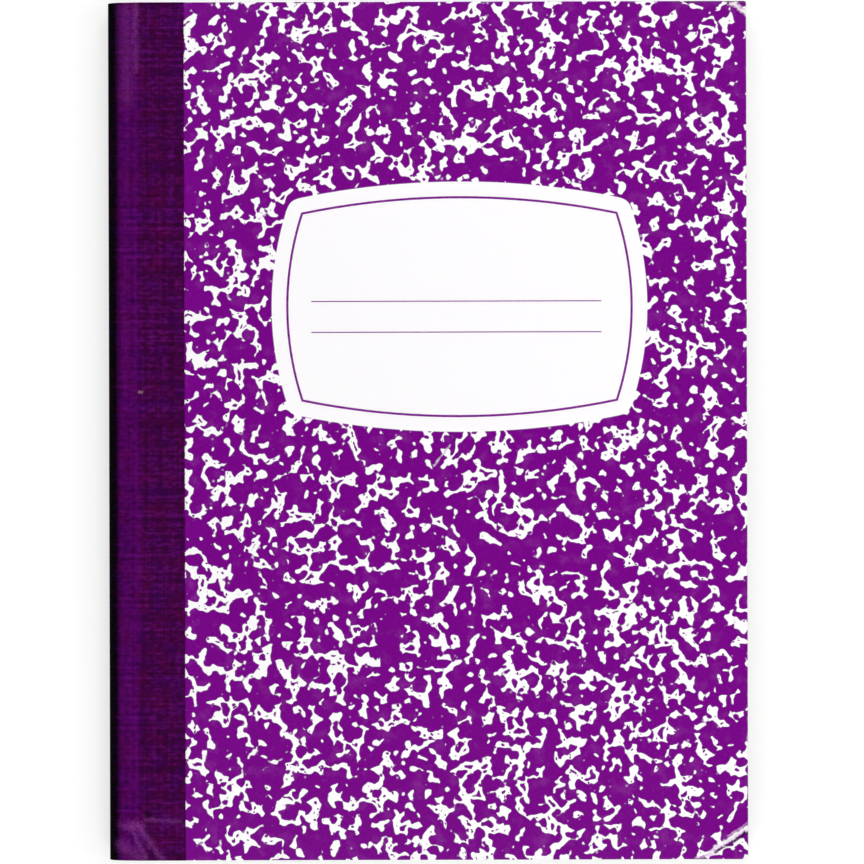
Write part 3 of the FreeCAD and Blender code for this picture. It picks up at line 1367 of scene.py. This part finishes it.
@dataclass
class SpineTape:
    """Cloth tape over the spine, in two halves that meet at its nose.

    Each half runs flat over a cover, slopes down from the board's edge and turns round the
    fold, with extra cuts across it at the board's edge.
    """

    book: BookSize
    thickness: float = 0.25 * MM
    inner_gap: float = 0.1 * MM
    crease_radius: float = 0.9 * MM
    crease_segments: int = 4
    bend_zone: float = 1.6 * MM
    bend_cuts: int = 9
    round_steps: int = 28
    sharp_angle: float = 40.0
    uv_name: str = "cloth"

    @property
    def radius(self) -> float:
        """Outer radius of the round."""
        return self.book.fold_radius + self.inner_gap + self.thickness

    @property
    def centre_x(self) -> float:
        """Place of the round's centre along X."""
        return self.book.spine_x + self.radius

    @property
    def slope(self) -> float:
        """Angle of the sloping stretch, which meets the round at a tangent."""
        book = self.book
        run = book.hinge_x - self.centre_x
        height = book.print_front_z - book.middle_z
        inner = self.radius - self.thickness
        return math.atan2(height, run) - math.asin(inner / math.hypot(run, height))

    @property
    def slope_foot(self) -> tuple[float, float]:
        """Where the slope meets the round on the front half, as X and Z."""
        x = self.centre_x - self.radius * math.sin(self.slope)
        return x, self.book.middle_z + self.radius * math.cos(self.slope)

    @property
    def crease_x(self) -> float:
        """Where the outer surface starts to slope down."""
        return self.book.hinge_x - self.thickness * math.tan(self.slope / 2)

    @property
    def round_length(self) -> float:
        """Length of the outer surface from the nose to the foot of the slope."""
        return self.radius * (math.pi / 2 - self.slope)

    @property
    def crease_at(self) -> float:
        """Length of the outer surface from the nose to the crease."""
        return self.round_length + (self.crease_x - self.slope_foot[0]) / math.cos(self.slope)

    @property
    def half_length(self) -> float:
        """Length of the outer surface from the nose to the tape's edge."""
        return self.crease_at + self.book.tape_edge_x - self.crease_x

    def length_at(self, x: float) -> float:
        """Length of the outer surface from the nose to a place along X."""
        foot_x = self.slope_foot[0]
        if x >= self.crease_x:
            return self.crease_at + x - self.crease_x
        if x >= foot_x:
            return self.round_length + (x - foot_x) / math.cos(self.slope)
        share = max(-1.0, min(1.0, (self.centre_x - x) / self.radius))
        return self.radius * math.acos(share)

    def unroll(self, piece: Piece) -> None:
        """Gives the sheet a UV map in which it lies flat, to one scale both ways."""
        book = self.book
        layer = piece.data.uv_layers.new(name=self.uv_name)
        for loop in piece.data.loops:
            at = piece.data.vertices[loop.vertex_index].co
            layer.data[loop.index].uv = (
                self.length_at(at.x) / book.height,
                (at.y - book.tail_y) / book.height,
            )

    def sheet(self, side: Side) -> Piece:
        """Makes the outer surface of one half, from a plane on the cover.

        Args:
            side: The half of the book.

        Returns:
            The surface, without thickness.
        """
        book = self.book
        out = side.value
        surface_z = book.middle_z + out * (book.top_z - book.middle_z)
        foot_x, foot_z = self.slope_foot
        width = book.tape_edge_x - self.crease_x
        deselect_all()
        bpy.ops.mesh.primitive_plane_add(size=1, location=(self.crease_x + width / 2, 0, surface_z))
        piece = bpy.context.object
        piece.name = f"spine_tape_{side.name.lower()}"
        piece.data.name = piece.name
        piece.scale = (width, book.height, 1)
        bpy.ops.object.transform_apply(location=True, rotation=True, scale=True)
        start_editing(piece)
        pick(
            piece,
            Element.EDGES,
            lambda edge: all(v.co.x < self.crease_x + TINY for v in edge.verts),
        )
        bpy.ops.mesh.extrude_region_move(
            TRANSFORM_OT_translate={
                "value": (foot_x - self.crease_x, 0, -out * (book.top_z - foot_z))
            }
        )
        bpy.ops.mesh.spin(
            steps=self.round_steps,
            angle=math.pi / 2 - self.slope,
            center=(self.centre_x, 0, book.middle_z),
            axis=(0, out, 0),
        )
        pick(
            piece,
            Element.EDGES,
            lambda edge: all(abs(v.co.x - self.crease_x) < TINY for v in edge.verts),
        )
        bpy.ops.mesh.bevel(offset=self.crease_radius, segments=self.crease_segments, affect="EDGES")
        reach = self.bend_zone
        cuts = [
            Vector((book.hinge_x + reach * (2 * i / (self.bend_cuts - 1) - 1), 0, 0))
            for i in range(self.bend_cuts)
        ]
        cut_along(Vector((1, 0, 0)), cuts)
        bpy.ops.mesh.select_all(action="SELECT")
        bpy.ops.mesh.normals_make_consistent(inside=False)
        stop_editing()
        return piece

    def face_outwards(self, piece: Piece, side: Side) -> None:
        """Turns the sheet over if the stretch on the cover faces the book."""
        flat = max(piece.data.polygons, key=lambda face: face.center.x)
        if flat.normal.z * side.value < 0:
            start_editing(piece)
            bpy.ops.mesh.select_all(action="SELECT")
            bpy.ops.mesh.flip_normals()
            stop_editing()

    def marks(self, side: Side) -> tuple[Mark, ...]:
        """Scuffs and stains, in millimetres across from the nose and along the spine."""
        if side is Side.BACK:
            return (
                self.scuff((6.5, 119.0), (9.0, 108.0), 2.2, 0.6),
                self.scuff((8.0, -104.0), (13.0, -121.0), 1.6, 0.7),
                self.scuff((11.9, -80.0), (12.1, 60.0), 1.0, 0.5),
            )
        return (
            self.scuff((10.6, -112.6), (18.8, -124.0), 1.9, 0.5),
            self.scuff((9.2, -113.5), (14.0, -124.0), 1.6, 0.5),
            self.scuff((6.4, -113.4), (12.4, -113.9), 2.4, 0.4),
            self.scuff((13.4, -111.6), (23.0, -112.2), 1.5, 0.4),
            self.scuff((6.0, -119.0), (11.0, -122.5), 3.4, 0.4),
            self.scuff((8.0, 122.0), (8.6, 96.0), 4.2, 0.22),
            self.scuff((11.0, 124.0), (11.4, 104.0), 1.9, 0.36),
            Mark((11.3, 124.0), (11.2, 114.0), 1.4, "#98405C", 0.36, 0.5, 0.3, (0.8, 1.4), 0.45),
            Mark((12.3, 11.2), (12.8, 11.1), 0.75, "#A87896", 0.55, 0.4),
            Mark((14.0, -109.8), (14.6, -110.3), 1.7, "#14001A", 0.8, 1.2, 0.4),
        )

    def scuff(
        self,
        start: tuple[float, float],
        end: tuple[float, float],
        half_width: float,
        strength: float,
    ) -> Mark:
        """One soft rub that bares paler threads across the spine.

        Args:
            start: Its start, in millimetres across from the nose and along the spine.
            end: Its end.
            half_width: Half its width in millimetres.
            strength: How strongly it shows, up to one.

        Returns:
            The rub as a mark.
        """
        return Mark(
            start,
            end,
            half_width,
            "#8A3A92",
            strength,
            grain=0.45,
            raggedness=0.4,
            stretch=(2.2, 0.7),
            body=0.7,
        )

    def build_half(self, side: Side) -> Piece:
        """Makes and dresses one half of the tape.

        Args:
            side: The half of the book.

        Returns:
            The finished half.
        """
        piece = self.sheet(side)
        self.face_outwards(piece, side)
        self.unroll(piece)
        wall = piece.modifiers.new("cloth_thickness", "SOLIDIFY")
        wall.thickness = self.thickness
        wall.offset = -1
        wall.use_even_offset = True
        apply_modifiers(piece)
        smooth(piece, self.sharp_angle)
        name = f"starched_book_cloth_{side.name.lower()}"
        piece.data.materials.append(BookCloth().build(name, self, self.marks(side)))
        if side is Side.FRONT:
            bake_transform(piece)
        else:
            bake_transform(piece)
        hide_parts("spine_tape")
        report(piece)
        return piece


@dataclass
class PageBlock:
    """The leaves: sheets folded once and nested, trimmed nearly flush."""

    book: BookSize
    sheet_count: int = 50
    paper_thickness: float = 0.072 * MM
    slack: float = 0.01 * MM
    trim_error: float = 0.12 * MM
    least_steps: int = 4
    most_steps: int = 20
    sharp_angle: float = 30.0
    # A face that is this level, or more, may be ruled.
    level_least: float = 0.99
    seed: int = 11

    def folded_sheet(self, layer: int, chance: random.Random) -> Piece:
        """Makes one sheet: a plane spun round the fold and run back under itself.

        Args:
            layer: Number of sheets outside this one.
            chance: Source of the small trimming errors.

        Returns:
            The sheet with its thickness.
        """
        book = self.book
        pitch = book.fold_radius / self.sheet_count
        radius = book.fold_radius - self.slack - layer * pitch
        centre_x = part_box("page_block")[0].x + book.fold_radius
        fore_x = book.fore_x - chance.uniform(0, self.trim_error)
        length = book.height - chance.uniform(0, self.trim_error)
        width = fore_x - centre_x
        deselect_all()
        bpy.ops.mesh.primitive_plane_add(
            size=1, location=(centre_x + width / 2, 0, book.middle_z + radius)
        )
        piece = bpy.context.object
        piece.scale = (width, length, 1)
        bpy.ops.object.transform_apply(location=True, rotation=True, scale=True)
        start_editing(piece)
        pick(
            piece,
            Element.EDGES,
            lambda edge: all(v.co.x < centre_x + TINY for v in edge.verts),
        )
        share = radius / book.fold_radius
        bpy.ops.mesh.spin(
            steps=round(self.least_steps + share * (self.most_steps - self.least_steps)),
            angle=math.pi,
            center=(centre_x, 0, book.middle_z),
            axis=(0, 1, 0),
        )
        bpy.ops.mesh.extrude_region_move(TRANSFORM_OT_translate={"value": (width, 0, 0)})
        stop_editing()
        upper = max(piece.data.polygons, key=lambda face: face.center.z)
        wall = piece.modifiers.new("paper_thickness", "SOLIDIFY")
        wall.thickness = self.paper_thickness
        wall.offset = -1 if upper.normal.z > 0 else 1
        apply_modifiers(piece)
        return piece

    def build(self) -> Piece:
        """Makes and dresses the leaves as one piece, and returns it."""
        book = self.book
        chance = random.Random(self.seed)
        sheets = [self.folded_sheet(layer, chance) for layer in range(self.sheet_count)]
        deselect_all()
        for sheet in sheets:
            sheet.select_set(True)
        piece = sheets[0]
        bpy.context.view_layer.objects.active = piece
        bpy.ops.object.join()
        piece.name = "leaves"
        piece.data.name = "leaves"
        start_editing(piece)
        bpy.ops.mesh.select_all(action="SELECT")
        bpy.ops.mesh.normals_make_consistent(inside=False)
        stop_editing()
        smooth(piece, self.sharp_angle)
        outer = book.fold_radius - 2 * self.slack - self.paper_thickness / 2
        give_finish(piece, WritingPaper().build(), lambda face: True)
        give_finish(
            piece,
            RuledPage().build(book),
            lambda face: abs(face.calc_center_median().z - book.middle_z) > outer
            and abs(face.normal.z) > self.level_least,
        )
        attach(piece, "pages")
        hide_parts("page_block")
        report(piece)
        return piece


@dataclass
class Studio:
    """Plain white floor, soft lights low at four sides and the camera straight above."""

    book: BookSize
    view_centre: tuple[float, float] = (1.3 * MM, -0.35 * MM)
    lens_mm: float = 200.0
    sensor_mm: float = 36.0
    view_width: float = 248.6 * MM
    floor_size: float = 6.0
    # The floor's grey for the light that falls on the book, and as the camera sees it.
    floor_lit: str = "#9A9A9A"
    floor_seen: str = "#C0C0C0"
    floor_drop: float = 0.1 * MM
    light_distance: float = 1.2
    light_elevation: float = 37.0
    roll: float = math.radians(-0.15)
    # Direction from the book in degrees from the fore edge, and power in watts.
    lights: tuple[tuple[float, float], ...] = ((90, 9.65), (-90, 9.65), (0, 4.3), (180, 1.85))
    light_size: tuple[float, float] = (1.1, 0.5)
    fill: float = 0.07
    # The floor's own glow near the book, and the distances between which it rises to white.
    floor_glow: float = 0.52
    glow_rises: tuple[float, float] = (0.35, 0.8)

    def add_camera(self) -> None:
        """Puts the camera above the book, looking straight down."""
        distance = self.view_width * self.lens_mm / self.sensor_mm
        x, y = self.view_centre
        deselect_all()
        bpy.ops.object.camera_add(
            location=(x, y, self.book.top_z + distance), rotation=(0, 0, self.roll)
        )
        camera = bpy.context.object
        camera.name = "camera"
        camera.data.lens = self.lens_mm
        camera.data.sensor_width = self.sensor_mm
        bpy.context.scene.camera = camera

    def add_lights(self) -> None:
        """Puts a soft lamp at each side, turned to the book."""
        rise = math.radians(self.light_elevation)
        for turn, power in self.lights:
            angle = math.radians(turn)
            level = math.cos(rise)
            towards = Vector((level * math.cos(angle), level * math.sin(angle), math.sin(rise)))
            deselect_all()
            bpy.ops.object.light_add(type="AREA", location=towards * self.light_distance)
            lamp = bpy.context.object
            lamp.name = f"soft_light_{turn}"
            lamp.rotation_mode = "QUATERNION"
            lamp.rotation_quaternion = towards.to_track_quat("Z", "Y")
            lamp.data.shape = "RECTANGLE"
            lamp.data.size, lamp.data.size_y = self.light_size
            lamp.data.energy = power

    def floor_material(self) -> Material:
        """White paper sweep, pure white to the camera where no shadow falls."""
        material, tree, shader = new_material(
            "paper_sweep", {"Roughness": 1.0, "Specular IOR Level": 0.0}
        )
        seen = add_node(tree, "LightPath").outputs["Is Camera Ray"]
        greys = {0: seen, 6: linear(self.floor_lit), 7: linear(self.floor_seen)}
        colour = add_node(tree, "Mix", greys, data_type="RGBA").outputs[2]
        tree.links.new(colour, shader.inputs["Base Color"])
        shader.inputs["Emission Color"].default_value = WHITE
        place = add_node(tree, "TexCoord").outputs["Object"]
        away = add_node(tree, "VectorMath", {0: place}, operation="LENGTH").outputs["Value"]
        near, far = self.glow_rises
        glow = add_node(
            tree,
            "MapRange",
            {"Value": away, "From Min": near, "From Max": far, "To Min": self.floor_glow},
        ).outputs[0]
        glow = add_node(tree, "Math", {0: seen, 1: glow}, operation="MULTIPLY").outputs[0]
        tree.links.new(glow, shader.inputs["Emission Strength"])
        return material

    def add_floor(self) -> None:
        """Lays the floor just under the book."""
        deselect_all()
        bpy.ops.mesh.primitive_plane_add(size=self.floor_size, location=(0, 0, -self.floor_drop))
        floor = bpy.context.object
        floor.name = "floor"
        floor.data.materials.append(self.floor_material())

    def add_world(self) -> None:
        """Fills the shadows softly, with white behind the floor's far edge."""
        world = bpy.data.worlds.new("studio")
        bpy.context.scene.world = world
        world.use_nodes = True
        tree = world.node_tree
        background = tree.nodes["Background"]
        seen = add_node(tree, "LightPath").outputs["Is Camera Ray"]
        strength = add_node(
            tree, "MapRange", {"Value": seen, "To Min": self.fill, "To Max": 1.0}
        ).outputs[0]
        background.inputs["Color"].default_value = WHITE
        tree.links.new(strength, background.inputs["Strength"])

    def build(self) -> None:
        """Sets up the whole studio."""
        self.add_camera()
        self.add_lights()
        self.add_floor()
        self.add_world()
        bpy.context.scene.view_settings.view_transform = "Standard"


def main() -> None:
    """Builds the studio and every sub-assembly in order."""
    logging.basicConfig(level=logging.INFO, format="%(message)s")
    book = BookSize.from_frame()
    Studio(book).build()
    board_edge = BoardEdge().build()
    lining = LiningPaper().build()
    BackCover(book, Side.BACK, board_edge, lining).build()
    PageBlock(book).build()
    dress_node("sewing_thread", SpunThread().build())
    FrontCover(book, Side.FRONT, board_edge, lining).build()
    dress_node("label_border", BORDER_INK.build())
    dress_node("label_lines", LINE_INK.build())
    tape = SpineTape(book)
    for side in (Side.BACK, Side.FRONT):
        tape.build_half(side)


if __name__ == "__main__":
    main()
